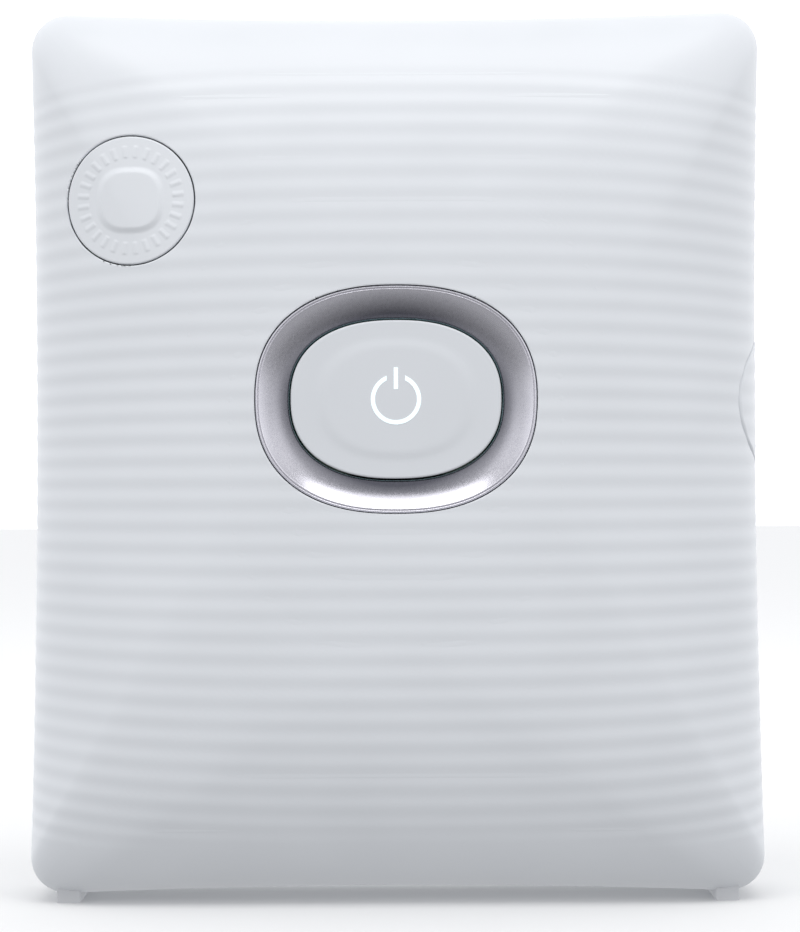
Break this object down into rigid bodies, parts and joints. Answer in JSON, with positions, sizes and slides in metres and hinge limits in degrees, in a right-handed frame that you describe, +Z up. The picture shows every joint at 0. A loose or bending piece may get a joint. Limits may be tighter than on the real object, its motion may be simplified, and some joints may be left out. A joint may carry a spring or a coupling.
{
  "type": "instant photo printer",
  "caption": "Pocket printer for square instant film: ribbed cushion-shaped body, dished oval power button, side latch, hinged rear film door, motorised rollers under a top slot.",
  "frame": {"origin": "on the ground, under the middle of the body, which stands upright on its two feet", "axes": "+Z up towards the film slot, the front with the power button faces -Y, the latch button is on the +X side"},
  "size_m": [0.0974, 0.042, 0.1189],
  "materials": {
    "shell_plastic": "satin ribbed white moulding",
    "shell_inner": "plain white moulding",
    "button_plastic": "satin light grey",
    "silver_ring": "satin silver",
    "light_pipe": "clear diffusing",
    "dark_plastic": "matt black",
    "grey_plastic": "matt grey",
    "window": "smoked clear",
    "board": "solder mask",
    "components": "moulded",
    "shield": "tinned",
    "steel": "bright",
    "screw_steel": "zinc plated",
    "spring_steel": "bright",
    "led": "diffusing",
    "battery_foil": "foil pouch",
    "flex": "polyimide",
    "lens": "clear",
    "roller_rubber": "fine ground",
    "gear_plastic": "acetal",
    "brass": "turned",
    "felt": "light-tight pile",
    "foot_rubber": "soft"
  },
  "bodies": {
    "printer": {"front_cover": "shell_plastic", "rear_cover": "shell_plastic", "case_screws": "screw_steel", "led_bezel": "silver_ring", "led_light_guide": "light_pipe", "power_dome": "spring_steel", "function_dome": "spring_steel", "main_board": "board", "board_components": "components", "wireless_module": "shield", "ring_leds": "led", "board_screws": "screw_steel", "battery": "battery_foil", "battery_bracket": "steel", "bracket_screws": "screw_steel", "usb_board": "board", "usb_c_receptacle": "steel", "reset_switch": "components", "chassis": "dark_plastic", "chassis_screws": "screw_steel", "print_head_body": "grey_plastic", "print_head_lens": "lens", "print_head_flex": "flex", "roller_frame": "steel", "roller_bearings": "brass", "gear_axle": "steel", "drive_motor": "steel", "claw_spring": "spring_steel", "latch_spring": "spring_steel", "exit_bezel": "grey_plastic", "light_seals": "felt", "feet": "foot_rubber"},
    "door": {"film_door": "shell_plastic", "film_window": "window", "pack_springs": "spring_steel", "hinge_pins": "steel"},
    "power_key": {"power_button": "button_plastic", "power_symbol": "light_pipe"},
    "function_key": {"function_button": "button_plastic"},
    "latch": {"latch_button": "button_plastic", "latch_slider": "grey_plastic"},
    "reset_key": {"reset_button": "grey_plastic"},
    "drive_roller_body": {"drive_roller": "roller_rubber", "drive_shaft": "steel", "drive_gear": "gear_plastic", "cam_pinion": "gear_plastic"},
    "pinch_roller_body": {"pinch_roller": "roller_rubber", "pinch_shaft": "steel", "pinch_gear": "gear_plastic"},
    "compound_body": {"compound_gear": "gear_plastic"},
    "motor_rotor": {"motor_pinion": "brass", "motor_shaft": "steel"},
    "cam_body": {"cam_gear": "gear_plastic"},
    "claw": {"film_claw": "steel"}
  },
  "joints": [
    {"name": "film_door_hinge", "type": "hinge", "parent": "printer", "child": "door", "pos_m": [-0.0402, 0.0171, 0.054], "axis": [0, 0, 1], "range_deg": [0, 75]},
    {"name": "power_button_press", "type": "slide", "parent": "printer", "child": "power_key", "axis": [0, 1, 0], "range_m": [0, 0.0007], "stiffness_N_per_m": 400, "springref_m": -0.0003, "deforming": ["power_dome"]},
    {"name": "function_button_press", "type": "slide", "parent": "printer", "child": "function_key", "axis": [0, 1, 0], "range_m": [0, 0.0007], "stiffness_N_per_m": 400, "springref_m": -0.0003, "deforming": ["function_dome"]},
    {"name": "latch_press", "type": "slide", "parent": "printer", "child": "latch", "axis": [-1, 0, 0], "range_m": [0, 0.0012], "stiffness_N_per_m": 400, "springref_m": -0.0003, "deforming": ["latch_spring"]},
    {"name": "reset_press", "type": "slide", "parent": "printer", "child": "reset_key", "axis": [1, 0, 0], "range_m": [0, 0.0003], "stiffness_N_per_m": 400, "springref_m": -0.0003},
    {"name": "drive_roller_spin", "type": "hinge", "parent": "printer", "child": "drive_roller_body", "pos_m": [0, 0.00075, 0.106], "axis": [1, 0, 0], "continuous": true},
    {"name": "pinch_roller_spin", "type": "hinge", "parent": "printer", "child": "pinch_roller_body", "pos_m": [0, -0.00755, 0.106], "axis": [1, 0, 0], "continuous": true},
    {"name": "compound_gear_spin", "type": "hinge", "parent": "printer", "child": "compound_body", "pos_m": [0.042, 0.00646, 0.1026], "axis": [1, 0, 0], "continuous": true},
    {"name": "motor_spin", "type": "hinge", "parent": "printer", "child": "motor_rotor", "pos_m": [0.03, 0.011, 0.108], "axis": [1, 0, 0], "continuous": true},
    {"name": "cam_gear_spin", "type": "hinge", "parent": "printer", "child": "cam_body", "pos_m": [-0.0437, 0.005, 0.09653], "axis": [1, 0, 0], "continuous": true},
    {"name": "film_claw_lift", "type": "slide", "parent": "printer", "child": "claw", "axis": [0, 0, 1], "range_m": [0, 0.006], "stiffness_N_per_m": 30, "springref_m": -0.002, "deforming": ["claw_spring"]}
  ],
  "couplings": [
    {"joint": "pinch_roller_spin", "follows": "drive_roller_spin", "ratio": -1},
    {"joint": "compound_gear_spin", "follows": "drive_roller_spin", "ratio": -1.6667},
    {"joint": "motor_spin", "follows": "drive_roller_spin", "ratio": 4},
    {"joint": "cam_gear_spin", "follows": "drive_roller_spin", "ratio": -0.25}
  ]
}
